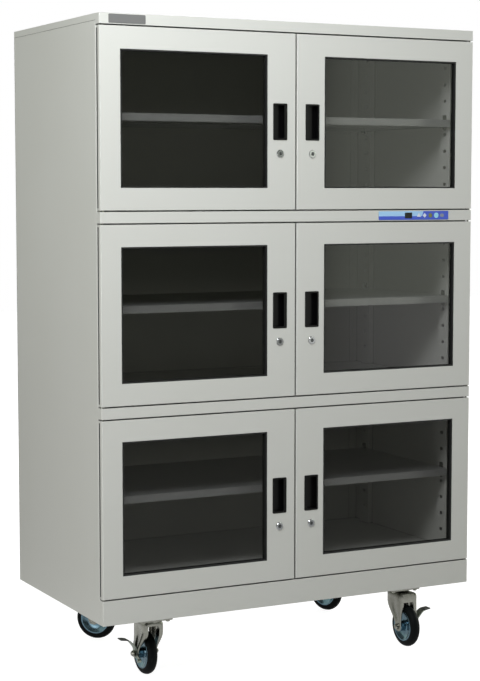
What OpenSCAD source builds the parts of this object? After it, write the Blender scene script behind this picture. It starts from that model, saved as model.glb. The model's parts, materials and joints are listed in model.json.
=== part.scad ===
// Industrial dry cabinet: six glazed doors in three rows on a steel carcass, on four swivel casters.
// Front is -Y, right is +X, up is +Z. The origin is on the floor under the middle of the whole cabinet.

/* [Carcass] */
// Width across the side panels
cabinet_w = 1200; // [1000:10:1400]
// Depth from the door faces to the back panel
cabinet_d = 655; // [560:5:800]
// Height of the body without its casters
body_h = 1660; // [1560:10:1840]
// Thickness of the folded steel sheet
sheet_t = 1.5; // [1:0.1:2]
// Outside radius of the folded upright edges
bend_r = 3; // [2.2:0.1:5]
// Width of the flanges folded in at the edges of the side panels
flange_w = 30; // [24:1:40]
// Depth of the side lips of the top cover
cover_lip = 18; // [12:1:30]
// Height of the flanges folded up round the floor pan
pan_flange = 40; // [20:1:60]

/* [Front frame] */
// Face height of the header above the top doors
header_h = 29; // [24:1:45]
// Face height of the two rails between the rows of doors
rail_h = 30.5; // [28:0.5:40]
// Face height of the plinth under the bottom doors
plinth_h = 69; // [50:1:90]
// Depth of the front frame, from its face to the side panels
frame_depth = 26; // [25:0.5:34]
// How far the seal landings and the decks stand into each door opening
landing_h = 19; // [18:0.5:26]
// Width of the centre post behind the meeting edges of the doors
post_w = 60; // [50:1:70]
// Depth of the centre post
post_d = 28; // [20:1:36]

/* [Doors] */
// Thickness of a door
door_t = 22; // [20:0.5:23]
// Running gap round each door
door_gap = 4; // [3.5:0.1:5]
// Width of the stile on the hinge side of the window
stile_hinge = 60; // [50:1:80]
// Width of the stile on the side of the pull and lock
stile_pull = 90; // [84:1:110]
// Height of the rails above and below the window
window_rail = 60.5; // [45:0.5:80]
// Width of the black glazing gasket
gasket_w = 4; // [3:0.5:6]
// How far the glass sits behind the door face
glass_setback = 9; // [6:0.5:12]
// Thickness of the glass
glass_t = 4; // [3:0.5:5]
// Depth of the gasket groove that holds the glass
glass_bite = 2; // [1:0.25:2.5]
// Distance of the pivot pins from the side of the cabinet
pivot_side = 7; // [6:0.5:8]
// Distance of the pivot pins from the door face
pivot_front = 9; // [8:0.5:11]
// Diameter of the pivot pins
pivot_d = 6; // [4:0.5:7]
// Depth to which a pivot pin enters a door
pivot_reach = 12; // [8:1:18]

/* [Pulls and locks] */
// Width of a pull's flange
pull_w = 44.6; // [38:0.2:50]
// Height of a pull's flange
pull_h = 102; // [80:1:130]
// Depth of a pull's pocket behind the door face
pull_d = 17; // [12:0.5:18]
// Distance of pull and lock from the meeting edge of the door
pull_inset = 50; // [44:0.5:56]
// Drop of the lock below the middle of the door
lock_drop = 89; // [75:1:110]
// Diameter of the lock's collar
lock_collar_d = 22; // [20:0.5:26]
// How far the lock's collar stands out of the door face
lock_proud = 3; // [2:0.5:5]
// Diameter of the lock's barrel
lock_barrel_d = 18.9; // [16:0.1:19.5]
// Length of the lock's cam from its axis
cam_l = 38; // [34:1:42]
// Width of the lock's cam
cam_w = 14; // [10:1:18]

/* [Shelves] */
// Height of a shelf's folded edges
shelf_edge_h = 21; // [16:1:30]
// Thickness of the shelf sheet
shelf_t = 1.2; // [0.8:0.1:2]
// Distance of a shelf's front edge from the door face
shelf_setback = 80; // [70:1:100]
// Depth of a shelf from front to back
shelf_d = 495; // [400:5:520]
// Width of an upright
upright_w = 46; // [36:1:60]
// Depth of an upright
upright_d = 18.5; // [14:0.5:26]
// Distance of the front uprights' holes from the door face
upright_front = 116; // [105:1:130]
// Distance of the back uprights' holes from the back panel
upright_back = 84; // [70:1:110]
// Spacing of the clip holes
hole_pitch = 50; // [40:1:56]
// Width of a clip hole
hole_w = 14; // [10:1:18]
// Height of a clip hole
hole_h = 9; // [7:0.5:11]
// Height of the lowest clip hole above the deck
hole_first = 57.6; // [40:0.2:70]
// Which hole carries the shelf, counted from below
shelf_hole = 5; // [3:1:6]

/* [Drying unit] */
// Width of the drying unit
dryer_w = 400; // [300:10:500]
// Height of the drying unit
dryer_h = 112; // [90:1:130]
// Depth of the drying unit
dryer_d = 150; // [110:5:170]

/* [Control panel] */
// Length of the keypad film on the upper rail
panel_w = 242; // [200:1:260]
// Height of the keypad film
panel_h = 25; // [20:0.5:27]
// Distance of the keypad's right end from the side of the cabinet
panel_inset = 83; // [60:1:120]
// Thickness of the keypad film
panel_t = 1; // [0.6:0.1:1.5]

/* [Casters] */
// Height of the welded caster mounts under the floor pan
mount_h = 14; // [10:1:30]
// Overall height of a caster
caster_h = 174; // [166:1:190]
// Diameter of a wheel
wheel_d = 126; // [110:1:132]
// Width of the tyre
tyre_w = 34; // [28:1:40]
// Distance of a wheel's axle behind its swivel axis
trail = 42; // [36:1:48]
// Distance of the swivel axes from the sides of the cabinet
caster_side = 186; // [140:1:240]
// Distance of the front swivel axes from the door faces
caster_front = 94; // [80:1:140]
// Distance of the back swivel axes from the back panel
caster_back = 58; // [54:1:120]
// Width of a caster plate
plate_w = 100; // [94:1:110]
// Depth of a caster plate
plate_l = 86; // [80:1:100]
// Thickness of a caster plate
plate_t = 4; // [3:0.5:6]
// Bolt spacing across a caster plate
bolt_x = 76; // [70:1:84]
// Bolt spacing along a caster plate
bolt_y = 62; // [58:1:70]
// Width over the legs of a fork
fork_w = 60; // [56:1:66]
// Thickness of the fork sheet
fork_t = 3; // [2.5:0.5:4]
// Width of a fork's leg at the crown
leg_top = 88; // [80:1:94]
// Radius of a fork's leg round the axle
leg_r = 21; // [17:0.5:24]
// Diameter of the axle bolt
axle_d = 10; // [8:0.5:12]

/* [Hidden] */
$fn = 64;

// Overrun of every cut, running clearance of round fits, and the gap between parts that move past each other
cut = 1;
fit = 0.05;
gap = 0.3;

// Paints and finishes
paint = [0.80, 0.80, 0.77];
steel = [0.72, 0.73, 0.74];
zinc = [0.62, 0.63, 0.62];
black = [0.06, 0.06, 0.06];
rubber = [0.10, 0.10, 0.11];
smoke = [0.25, 0.27, 0.22, 0.55];
film_blue = [0.20, 0.35, 0.75];

// Levels and places that follow from the driving sizes
body_z = mount_h + caster_h;
half_w = cabinet_w / 2;
rows = 3;
opening_h = (body_h - header_h - plinth_h - (rows - 1) * rail_h) / rows;
row_pitch = opening_h + rail_h;
door_h = opening_h - 2 * door_gap;
door_x0 = door_gap / 2;
door_w = half_w - door_x0;
window_x0 = door_x0 + stile_pull;
window_w = door_w - stile_pull - stile_hinge;
window_h = door_h - 2 * window_rail;
inner_x = half_w - sheet_t;
back_y = cabinet_d - sheet_t;
inside_y0 = frame_depth + sheet_t;
inside_y1 = back_y - sheet_t;
function row_z(row) = plinth_h + row * row_pitch;
function deck_z(row) = row_z(row) + landing_h;
function shelf_hole_z(row) = deck_z(row) + hole_first + (shelf_hole - 1) * hole_pitch;

// The front right wheel stands out in front of the doors, and the inlet's rim behind the back panel
front_reach = max(lock_proud, trail + wheel_d / 2 - caster_front);
back_reach = lock_proud;
front_y = -(cabinet_d + back_reach - front_reach) / 2;

// Frame of the body: y runs back from the door faces and z up from the lower edge of the body
module in_body() translate([0, front_y, body_z]) children();

// Mirrors what is drawn for the right side onto the side given, -1 for the left
module to_side(side) mirror([side < 0 ? 1 : 0, 0, 0]) children();

// Flat rectangle with round corners, its lower left corner at the origin
module round_rect(w, h, r) {
    translate([r, 0]) square([w - 2 * r, h]);
    translate([0, r]) square([w, h - 2 * r]);
    for (x = [r, w - r])
        for (y = [r, h - r])
            translate([x, y]) circle(r);
}

// Turns a shape drawn in x and z so that it is extruded back from the plane y = 0
module face_plate(depth) translate([0, depth, 0]) rotate([90, 0, 0]) linear_extrude(depth) children();

// Side panel
// Plan section of the side panel: the outer sheet with its front and back flanges folded in
module side_section() {
    span = inside_y1 - frame_depth + sheet_t;
    difference() {
        translate([half_w - 2 * flange_w, frame_depth]) round_rect(2 * flange_w, span, bend_r);
        translate([half_w - 2 * flange_w + sheet_t, frame_depth + sheet_t])
            round_rect(2 * (flange_w - sheet_t), span - 2 * sheet_t, bend_r - sheet_t);
        translate([0, frame_depth - cut]) square([half_w - flange_w, span + 2 * cut]);
    }
}

module side_panel(side) {
    seam = sheet_t / 2;
    panel_top = body_h - cover_lip - seam;
    joggle_y0 = inside_y0 + bend_r;
    joggle_y1 = inside_y1 - bend_r;
    color(paint) in_body() to_side(side) {
        linear_extrude(panel_top) side_section();
        translate([inner_x - sheet_t, joggle_y0, panel_top - cover_lip])
            cube([sheet_t, joggle_y1 - joggle_y0, 2 * cover_lip + seam - sheet_t]);
    }
}

// Back panel: a flat sheet with a cut-out for the drying unit under the top deck
dryer_clear = 1;
dryer_z = deck_z(rows - 1) - landing_h - dryer_clear - dryer_h;

module back_panel() {
    seam = sheet_t / 2;
    color(paint) in_body() difference() {
        translate([-half_w, back_y, 0]) cube([cabinet_w, sheet_t, body_h - cover_lip - seam]);
        translate([-dryer_w / 2, back_y - cut, dryer_z]) cube([dryer_w, sheet_t + 2 * cut, dryer_h]);
    }
}

// Top cover: a sheet with lips over the side panels and the back
module top_cover() {
    color(paint) in_body() translate([0, 0, body_h - cover_lip]) difference() {
        translate([-half_w, frame_depth, 0]) cube([cabinet_w, cabinet_d - frame_depth, cover_lip]);
        translate([-inner_x, frame_depth - cut, -cut])
            cube([2 * inner_x, back_y - frame_depth + cut, cover_lip - sheet_t + cut]);
    }
}

// Floor pan: a tray that closes the body from below
module floor_pan() {
    color(paint) in_body() difference() {
        translate([-inner_x, inside_y0, 0])
            linear_extrude(pan_flange) round_rect(2 * inner_x, inside_y1 - inside_y0, bend_r);
        translate([-inner_x + sheet_t, inside_y0 + sheet_t, sheet_t]) linear_extrude(pan_flange)
            round_rect(2 * (inner_x - sheet_t), inside_y1 - inside_y0 - 2 * sheet_t, bend_r - sheet_t);
    }
}

// Decks: the floor of each row of doors, folded down at all four edges
module row_decks() {
    color(paint) in_body() for (row = [0 : rows - 1]) translate([0, 0, row_z(row)]) difference() {
        translate([-inner_x, inside_y0, 0])
            linear_extrude(landing_h) round_rect(2 * inner_x, inside_y1 - inside_y0, bend_r);
        translate([-inner_x + sheet_t, inside_y0 + sheet_t, -sheet_t]) linear_extrude(landing_h)
            round_rect(2 * (inner_x - sheet_t), inside_y1 - inside_y0 - 2 * sheet_t, bend_r - sheet_t);
    }
}

// Front frame
// A front member is a channel open to the back, with a flat landing for the seals above and below it.
// The pivot pins pass through its skins between the levels pin_z0 and pin_z1.
module front_member(z, h, land_below, land_above, pin_z0, pin_z1) {
    translate([0, 0, z]) {
        difference() {
            linear_extrude(h) intersection() {
                translate([-half_w, 0]) round_rect(cabinet_w, 2 * frame_depth, bend_r);
                translate([-half_w, 0]) square([cabinet_w, frame_depth]);
            }
            translate([-inner_x, sheet_t, sheet_t]) cube([2 * inner_x, frame_depth, h - 2 * sheet_t]);
            pivot_places() translate([0, 0, pin_z0]) cylinder(d = pivot_d + 2 * fit, h = pin_z1 - pin_z0);
        }
        translate([-half_w + flange_w, frame_depth, -land_below])
            cube([cabinet_w - 2 * flange_w, sheet_t, h + land_below + land_above]);
    }
}

// Both pivot axes of a level
module pivot_places() for (s = [-1, 1]) translate([s * (half_w - pivot_side), pivot_front, 0]) children();

module front_header() color(paint) in_body()
    front_member(body_h - header_h, header_h, landing_h, -2 * sheet_t, -cut, sheet_t + cut);

module mid_rails() color(paint) in_body() for (row = [1 : rows - 1])
    front_member(row_z(row) - rail_h, rail_h, landing_h, landing_h, -cut, rail_h + cut);

module front_plinth() color(paint) in_body()
    front_member(0, plinth_h, 0, landing_h, plinth_h - sheet_t - cut, plinth_h + cut);

// Centre post: an open channel behind the meeting doors, slotted where the lock cams turn in
cam_t = 2;
cam_set = 8.5;
cam_y = door_t + cam_set;
cam_room = 2;
lock_z = opening_h / 2 - lock_drop;
pull_x = door_x0 + pull_inset;

module centre_post() {
    post_z0 = landing_h;
    cam_tip = norm([cam_l, cam_w / 2]);
    slot_low = sqrt(max(0, pow(cam_tip, 2) - pow(pull_x - post_w / 2, 2))) + cam_room;
    color(paint) in_body() for (row = [0 : rows - 1])
        translate([-post_w / 2, frame_depth, row_z(row)]) difference() {
        translate([0, 0, post_z0]) cube([post_w, post_d, opening_h - 2 * landing_h]);
        translate([sheet_t, sheet_t, post_z0 - cut])
            cube([post_w - 2 * sheet_t, post_d, opening_h - 2 * landing_h + 2 * cut]);
        translate([-cut, cam_y - frame_depth - cam_room, lock_z - slot_low])
            cube([post_w + 2 * cut, cam_t + 2 * cam_room, slot_low + cam_w / 2 + cam_room]);
    }
}

// Inside fittings
// Uprights: folded channels on the side panels with a row of clip holes
upright_h = body_h - 2 * cover_lip - sheet_t - deck_z(rows - 1);
hole_n = floor((upright_h - hole_first - hole_h) / hole_pitch) + 1;
upright_face = inner_x - upright_d;
upright_y = [upright_front, cabinet_d - upright_back];

module upright() difference() {
    translate([upright_face, -upright_w / 2, 0]) cube([upright_d, upright_w, upright_h]);
    translate([upright_face + sheet_t, sheet_t - upright_w / 2, -cut])
        cube([upright_d, upright_w - 2 * sheet_t, upright_h + 2 * cut]);
    for (i = [0 : hole_n - 1])
        translate([upright_face - cut, -hole_w / 2, hole_first + i * hole_pitch - hole_h / 2])
            cube([sheet_t + 2 * cut, hole_w, hole_h]);
}

module shelf_uprights() color(paint) in_body()
    for (side = [-1, 1], row = [0 : rows - 1], y = upright_y)
        to_side(side) translate([0, y, deck_z(row)]) upright();

// Clips: a round-ended plate on the upright, hooked into a hole, with a tongue under the shelf
clip_t = 2;
clip_w = 17;
clip_drop = 27.7;
clip_up = 8;
tongue_l = 12;
tongue_t = 2.5;
hook_play = 1;

module shelf_clip() {
    hook_w = hole_w - 2 * hook_play;
    hook_h = hole_h - 2 * hook_play;
    hook_l = sheet_t + clip_t;
    round_z = -clip_drop - tongue_t;
    translate([upright_face - clip_t, 0, 0]) {
        rotate([90, 0, 90]) linear_extrude(clip_t) {
            translate([0, round_z]) circle(d = clip_w);
            translate([-clip_w / 2, round_z]) square([clip_w, clip_up - round_z]);
        }
        translate([clip_t, -hook_w / 2, -hook_h / 2]) cube([hook_l, hook_w, hook_h]);
        translate([clip_t + sheet_t, -hook_w / 2, -hook_h / 2]) cube([clip_t, hook_w, hole_h]);
        translate([-tongue_l, -clip_w / 2, -clip_drop - tongue_t])
            cube([tongue_l + clip_t, clip_w, tongue_t]);
    }
}

module shelf_clips() color(zinc) in_body()
    for (side = [-1, 1], row = [0 : rows - 1], y = upright_y)
        to_side(side) translate([0, y, shelf_hole_z(row)]) shelf_clip();

// Shelves: sheets folded down at all edges, hemmed at the front and stiffened by a channel
shelf_play = 0.6;
shelf_hem = 12;
stiffener_w = 50;

module shelf() {
    half = upright_face - clip_t - shelf_play;
    stiff_h = shelf_edge_h * 3 / 4;
    stiff_y = (shelf_d - stiffener_w) / 2;
    difference() {
        translate([-half, 0, 0]) cube([2 * half, shelf_d, shelf_edge_h]);
        translate([-half + shelf_t, shelf_t, -cut])
            cube([2 * (half - shelf_t), shelf_d - 2 * shelf_t, shelf_edge_h - shelf_t + cut]);
    }
    translate([-half, 0, 0]) cube([2 * half, shelf_hem, shelf_t]);
    translate([-half + shelf_hem, stiff_y, shelf_edge_h - shelf_t - stiff_h]) difference() {
        cube([2 * (half - shelf_hem), stiffener_w, stiff_h]);
        translate([-cut, shelf_t, shelf_t])
            cube([2 * half, stiffener_w - 2 * shelf_t, stiff_h]);
    }
}

module shelves() color(steel) in_body() for (row = [0 : rows - 1])
    translate([0, shelf_setback, shelf_hole_z(row) - clip_drop]) shelf();

// Drying unit: a sealed box let in through the back panel, with louvres inside and a flange outside
dryer_flange = 22;
louvre_n = 6;
louvre_share = 0.7;

module drying_unit() {
    louvre_pitch = dryer_h / (louvre_n + 1);
    louvre_l = dryer_w * louvre_share;
    color(zinc) in_body() translate([-dryer_w / 2, cabinet_d - dryer_d, dryer_z]) {
        difference() {
            cube([dryer_w, dryer_d, dryer_h]);
            for (i = [1 : louvre_n])
                translate([(dryer_w - louvre_l) / 2, -cut, i * louvre_pitch - louvre_pitch / 4])
                    cube([louvre_l, sheet_t + cut, louvre_pitch / 2]);
            translate([dryer_w / 2 - inlet_x, dryer_d - inlet_d, dryer_h / 2])
                translate([-inlet_w / 2, 0, -inlet_h / 2]) cube([inlet_w, inlet_d + cut, inlet_h]);
        }
        difference() {
            translate([-dryer_flange, dryer_d, -dryer_flange])
                cube([dryer_w + 2 * dryer_flange, sheet_t, dryer_h + 2 * dryer_flange]);
            translate([dryer_w / 2 - inlet_x - inlet_w / 2, dryer_d - cut, (dryer_h - inlet_h) / 2])
                cube([inlet_w, sheet_t + 2 * cut, inlet_h]);
        }
    }
}

// Power inlet: a three-pin appliance inlet let into the drying unit's flange
inlet_w = 27.6;
inlet_h = 20;
inlet_d = 22;
inlet_x = 120;
inlet_rim = 5;
inlet_wall = 2.4;
pin_w = 4;
pin_t = 2;
pin_l = 14;
pin_pitch = 7;

module power_inlet() {
    rim_t = back_reach - sheet_t;
    bezel_w = inlet_w + 2 * inlet_rim;
    bezel_h = inlet_h + 2 * inlet_rim;
    color(black) in_body() translate([-inlet_x, cabinet_d + sheet_t, dryer_z + dryer_h / 2]) {
        difference() {
            union() {
                translate([-inlet_w / 2, -inlet_d - sheet_t, -inlet_h / 2])
                    cube([inlet_w, inlet_d + sheet_t, inlet_h]);
                translate([-bezel_w / 2, 0, -bezel_h / 2]) cube([bezel_w, rim_t, bezel_h]);
            }
            translate([inlet_wall - inlet_w / 2, -inlet_d, inlet_wall - inlet_h / 2])
                cube([inlet_w - 2 * inlet_wall, inlet_d + rim_t + cut, inlet_h - 2 * inlet_wall]);
        }
        for (i = [-1, 0, 1])
            translate([i * pin_pitch - pin_t / 2, -inlet_d - sheet_t / 2, (i == 0 ? 1 : -1) * pin_t])
                translate([0, 0, -pin_w / 2]) cube([pin_t, pin_l, pin_w]);
    }
}

// Doors
// Seals: magnetic strips on the landings, in a frame behind each door
seal_w = 9;
seal_inset = 5;
seal_hinge_inset = 16;

module seal_frame() {
    x0 = door_x0 + seal_inset;
    x1 = half_w - seal_hinge_inset;
    z0 = door_gap + seal_inset;
    z1 = opening_h - z0;
    seal_t = frame_depth - door_t - gap;
    translate([0, frame_depth - seal_t, 0]) difference() {
        translate([x0, 0, z0]) cube([x1 - x0, seal_t, z1 - z0]);
        translate([x0 + seal_w, -cut, z0 + seal_w])
            cube([x1 - x0 - 2 * seal_w, seal_t + 2 * cut, z1 - z0 - 2 * seal_w]);
    }
}

module door_seals() color(rubber) in_body() for (side = [-1, 1], row = [0 : rows - 1])
    to_side(side) translate([0, 0, row_z(row)]) seal_frame();

// Pivot pins: each pin has a spacer inside its front member and a thrust washer under the door above it
spacer_d = 11;
washer_d = 13;
header_reach = 12;
pin_end_play = 1;

module pivot_pin(z0, z1) translate([0, 0, z0]) cylinder(d = pivot_d, h = z1 - z0);

module hinge_pins() {
    into_door = door_gap + pivot_reach - pin_end_play;
    color(steel) in_body() pivot_places() {
        for (row = [0 : rows - 1])
            translate([0, 0, row_z(row)]) cylinder(d = washer_d, h = door_gap - gap);
        pivot_pin(plinth_h - header_reach, plinth_h + into_door);
        translate([0, 0, plinth_h - header_reach]) cylinder(d = spacer_d, h = header_reach - sheet_t);
        for (row = [1 : rows - 1]) {
            pivot_pin(row_z(row) - rail_h - into_door, row_z(row) + into_door);
            translate([0, 0, row_z(row) - rail_h + sheet_t])
                cylinder(d = spacer_d, h = rail_h - 2 * sheet_t);
        }
        pivot_pin(body_h - header_h - into_door, body_h - header_h + header_reach);
        translate([0, 0, body_h - header_h + sheet_t]) cylinder(d = spacer_d, h = header_reach - sheet_t);
    }
}

// Places what belongs to the door of a row and side
module at_door(row, side) in_body() to_side(side) translate([0, 0, row_z(row) + door_gap]) children();

// Door shell: a hollow pan, pierced for the window, the pull and the lock, with a block at each pivot
block_w = 2 * pivot_side;
pull_neck = 2.4;

module door_shell(row, side) {
    hole_play = 2 * fit;
    color(paint) at_door(row, side) difference() {
        translate([door_x0, 0, 0]) linear_extrude(door_h) round_rect(door_w, door_t, bend_r);
        difference() {
            translate([door_x0 + sheet_t, sheet_t, sheet_t])
                cube([door_w - 2 * sheet_t, door_t - 2 * sheet_t, door_h - 2 * sheet_t]);
            translate([window_x0 - sheet_t, 0, window_rail - sheet_t])
                cube([window_w + 2 * sheet_t, door_t, window_h + 2 * sheet_t]);
            for (z = [0, door_h - pivot_reach - sheet_t])
                translate([half_w - block_w, 0, z]) cube([block_w, door_t, pivot_reach + sheet_t]);
        }
        translate([window_x0, -cut, window_rail]) cube([window_w, door_t + 2 * cut, window_h]);
        translate([pull_x - pull_w / 2 + pull_neck, -cut, (door_h - pull_h) / 2 + pull_neck])
            cube([pull_w - 2 * pull_neck, sheet_t + 2 * cut, pull_h - 2 * pull_neck]);
        translate([pull_x, -cut, lock_z - door_gap]) rotate([-90, 0, 0])
            cylinder(d = lock_barrel_d + hole_play, h = door_t + 2 * cut);
        for (z = [-cut, door_h - pivot_reach])
            translate([half_w - pivot_side, pivot_front, z])
                cylinder(d = pivot_d + hole_play, h = pivot_reach + cut);
    }
}

// Gasket: a rubber frame that lines the window and holds the glass in its groove
gasket_recess = 0.8;

module gasket(row, side) {
    color(rubber) at_door(row, side) translate([window_x0, 0, window_rail]) difference() {
        translate([0, gasket_recess, 0]) cube([window_w, door_t - 2 * gasket_recess, window_h]);
        translate([gasket_w, 0, gasket_w]) cube([window_w - 2 * gasket_w, door_t, window_h - 2 * gasket_w]);
        glass_block();
    }
}

// The pane's edge stands in the gasket's groove
module glass_block() {
    edge = gasket_w - glass_bite;
    translate([edge, glass_setback, edge]) cube([window_w - 2 * edge, glass_t, window_h - 2 * edge]);
}

module glass_pane(row, side) color(smoke) at_door(row, side)
    translate([window_x0, 0, window_rail]) glass_block();

// Pull: a moulded pocket behind a flange, undercut towards the meeting edge for the fingers
flange_t = 1.2;
flange_r = 3;
pull_wall = 1.8;
lip_w = 9;
rim_w = 4.5;

module pull(row, side) {
    cup_w = pull_w - 2 * pull_neck;
    cup_h = pull_h - 2 * pull_neck;
    color(black) at_door(row, side) translate([pull_x - pull_w / 2, 0, (door_h - pull_h) / 2]) difference() {
        union() {
            translate([0, -flange_t, 0]) face_plate(flange_t) round_rect(pull_w, pull_h, flange_r);
            translate([pull_neck, 0, pull_neck]) cube([cup_w, pull_d, cup_h]);
        }
        translate([pull_neck + pull_wall, sheet_t, pull_neck + pull_wall])
            cube([cup_w - 2 * pull_wall, pull_d - sheet_t - pull_wall, cup_h - 2 * pull_wall]);
        translate([lip_w, -flange_t - cut, rim_w])
            cube([pull_w - lip_w - rim_w, pull_d - pull_wall, pull_h - 2 * rim_w]);
    }
}

// Lock: collar, keyed barrel and cam turn together in the door
key_w = 2.4;
key_l = 9;
key_deep = 2;
collar_edge = 0.8;
nut_d = 25;
nut_t = 3;

module lock(row, side) {
    nut_y = door_t + gap;
    barrel_end = cam_y + cam_t;
    collar_t = lock_proud - gap;
    color(steel) at_door(row, side) translate([pull_x, 0, lock_z - door_gap]) {
        difference() {
            union() {
                translate([0, -lock_proud, 0]) rotate([-90, 0, 0]) rotate_extrude() polygon([
                    [0, 0], [lock_collar_d / 2 - collar_edge, 0], [lock_collar_d / 2, collar_edge],
                    [lock_collar_d / 2, collar_t], [0, collar_t]]);
                translate([0, -gap - cut, 0]) rotate([-90, 0, 0])
                    cylinder(d = lock_barrel_d, h = barrel_end + gap + cut);
            }
            translate([-key_w / 2, -lock_proud - cut, -key_l / 2]) cube([key_w, key_deep + cut, key_l]);
        }
        translate([0, nut_y, 0]) rotate([-90, 0, 0]) cylinder(d = nut_d, h = nut_t, $fn = 6);
        translate([0, cam_y, 0]) rotate([-90, 0, 0]) cylinder(d = cam_w + cam_room, h = cam_t);
        translate([-cam_w / 2, cam_y, -cam_l]) cube([cam_w, cam_t, cam_l]);
    }
}

// Control panel: keypad film on the upper rail with a raised display window and round keys
key_rise = 0.4;
display_w = 25;
display_h = 17;
key_pitch = 20;
key_count = 5;
key_d = 12;
key_end = 24;
display_x = 101;

module control_panel() {
    film_x = half_w - panel_inset - panel_w;
    film_z = row_z(rows - 1) - (rail_h + panel_h) / 2;
    color(film_blue) in_body() translate([film_x, -panel_t, film_z]) {
        face_plate(panel_t) round_rect(panel_w, panel_h, 2 * panel_t);
        translate([display_x - display_w / 2, -key_rise, (panel_h - display_h) / 2])
            cube([display_w, key_rise, display_h]);
        for (i = [0 : key_count - 1])
            translate([panel_w - key_end - i * key_pitch, 0, panel_h / 2]) rotate([90, 0, 0])
                cylinder(d = key_d, h = key_rise);
    }
}

// Casters
crown_r = 10;
race_d = 70;
race_h = 6;
crown_t = 4;
skirt_h = 26;
skirt_r = 12;
kingpin_d = 12;
kingpin_nut_d = 24;
kingpin_nut_t = 5;
axle_z = wheel_d / 2;
crown_z = caster_h - plate_t - race_h - gap;
leg_taper = 2;
leg_back = trail + leg_r - leg_taper;
leg_front = leg_back - leg_top;
leg_straight = 34;

// Turns of the casters about their swivel axes, clockwise from above.
// Their order is front left, front right, back left, back right.
caster_turn = [0, 180, 135, 160];
caster_sides = [-1, 1, -1, 1];
caster_y = [caster_front, caster_front, cabinet_d - caster_back, cabinet_d - caster_back];

module at_caster(i)
    translate([caster_sides[i] * (half_w - caster_side), caster_y[i] + front_y, 0]) children();

module turned(i) at_caster(i) rotate([0, 0, -caster_turn[i]]) children();

// Mounts: painted pads welded under the floor pan
module caster_mounts() color(paint) for (i = [0 : 3]) at_caster(i)
    translate([-plate_w / 2, -plate_l / 2, caster_h]) cube([plate_w, plate_l, mount_h]);

// Plates: each with four bolts, the upper race of the swivel bearing and the king pin
bolt_head_d = 13;
bolt_head_h = 5.5;
race_edge = 3;
pin_drop = caster_h - plate_t - crown_z + crown_t + gap + kingpin_nut_t;

module caster_plates() color(zinc) for (i = [0 : 3]) at_caster(i) translate([0, 0, caster_h - plate_t]) {
    translate([-plate_w / 2, -plate_l / 2, 0])
        linear_extrude(plate_t) round_rect(plate_w, plate_l, race_edge * 2);
    for (x = [-bolt_x / 2, bolt_x / 2], y = [-bolt_y / 2, bolt_y / 2])
        translate([x, y, -bolt_head_h]) cylinder(d = bolt_head_d, h = bolt_head_h, $fn = 6);
    translate([0, 0, -race_h]) rotate_extrude() polygon([
        [0, 0], [race_d / 2 - race_edge, 0], [race_d / 2, race_edge], [race_d / 2, race_h], [0, race_h]]);
    translate([0, 0, -pin_drop]) {
        cylinder(d = kingpin_d, h = pin_drop);
        cylinder(d = kingpin_nut_d, h = kingpin_nut_t, $fn = 6);
    }
}

// Point just inside the circle of radius r about c, where a line from p nearly touches it, on the side given
touch_share = 0.99;
function tangent(p, c, r, side) =
    let (inside = touch_share * r, a = atan2(p[1] - c[1], p[0] - c[0]) + side * acos(inside / norm(p - c)))
    c + inside * [cos(a), sin(a)];

// Outline of a fork's leg, seen from the side with the trail to the right
module leg_outline() {
    axle = [trail, axle_z];
    front = [leg_front, crown_z - leg_straight];
    back = [leg_back, crown_z - leg_straight];
    translate(axle) circle(leg_r);
    polygon([[leg_front, crown_z], front, tangent(front, axle, leg_r, 1), axle,
        tangent(back, axle, leg_r, -1), back, [leg_back, crown_z]]);
}

// Fork: crown, arched skirt and two legs of pressed steel, with the axle bolt and its nuts
nut_h = 6;
dome_h = 3;
lever_t = 3;

module fork(i, braked) {
    leg_x = fork_w / 2;
    far = leg_x + nut_h;
    near = leg_x + (braked ? lever_t + 2 * gap : 0) + nut_h;
    color(steel) turned(i) {
        difference() {
            translate([-leg_x, leg_front, crown_z - crown_t])
                linear_extrude(crown_t) round_rect(fork_w, leg_top, crown_r);
            translate([0, 0, crown_z - crown_t - cut]) cylinder(d = kingpin_d + 2 * fit, h = crown_t + 2 * cut);
        }
        for (s = [-1, 1]) translate([s * (leg_x - fork_t / 2) - fork_t / 2, 0, 0])
            rotate([90, 0, 90]) linear_extrude(fork_t) leg_outline();
        translate([-leg_x, leg_front + fork_t, crown_z - skirt_h]) rotate([90, 0, 0])
            linear_extrude(fork_t) difference() {
                square([fork_w, skirt_h]);
                translate([fork_t, -skirt_h])
                    round_rect(fork_w - 2 * fork_t, 2 * skirt_h - crown_t * 2, skirt_r);
            }
        translate([-near, trail, axle_z]) rotate([0, 90, 0]) cylinder(d = axle_d, h = near + far);
        translate([-near - dome_h, trail, axle_z]) rotate([0, 90, 0]) axle_nut();
        translate([far + dome_h, trail, axle_z]) rotate([0, -90, 0]) axle_nut();
    }
}

// Domed nut on the axle, its round end first
module axle_nut() {
    width = 2 * axle_d - dome_h;
    rotate_extrude() polygon([[0, 0], [width / 4, 0], [width / 2, dome_h],
        [width / 2, dome_h + nut_h], [0, dome_h + nut_h]]);
}

// Wheel: a rubber tyre on a pressed steel hub with a running boss between the fork's legs
hub_d = 92;
hub_rim_w = 5;
dish_d = 44;
boss_d = 30;
tread_r = 6;
dish_deep = 7;
web_t = 8;

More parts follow.
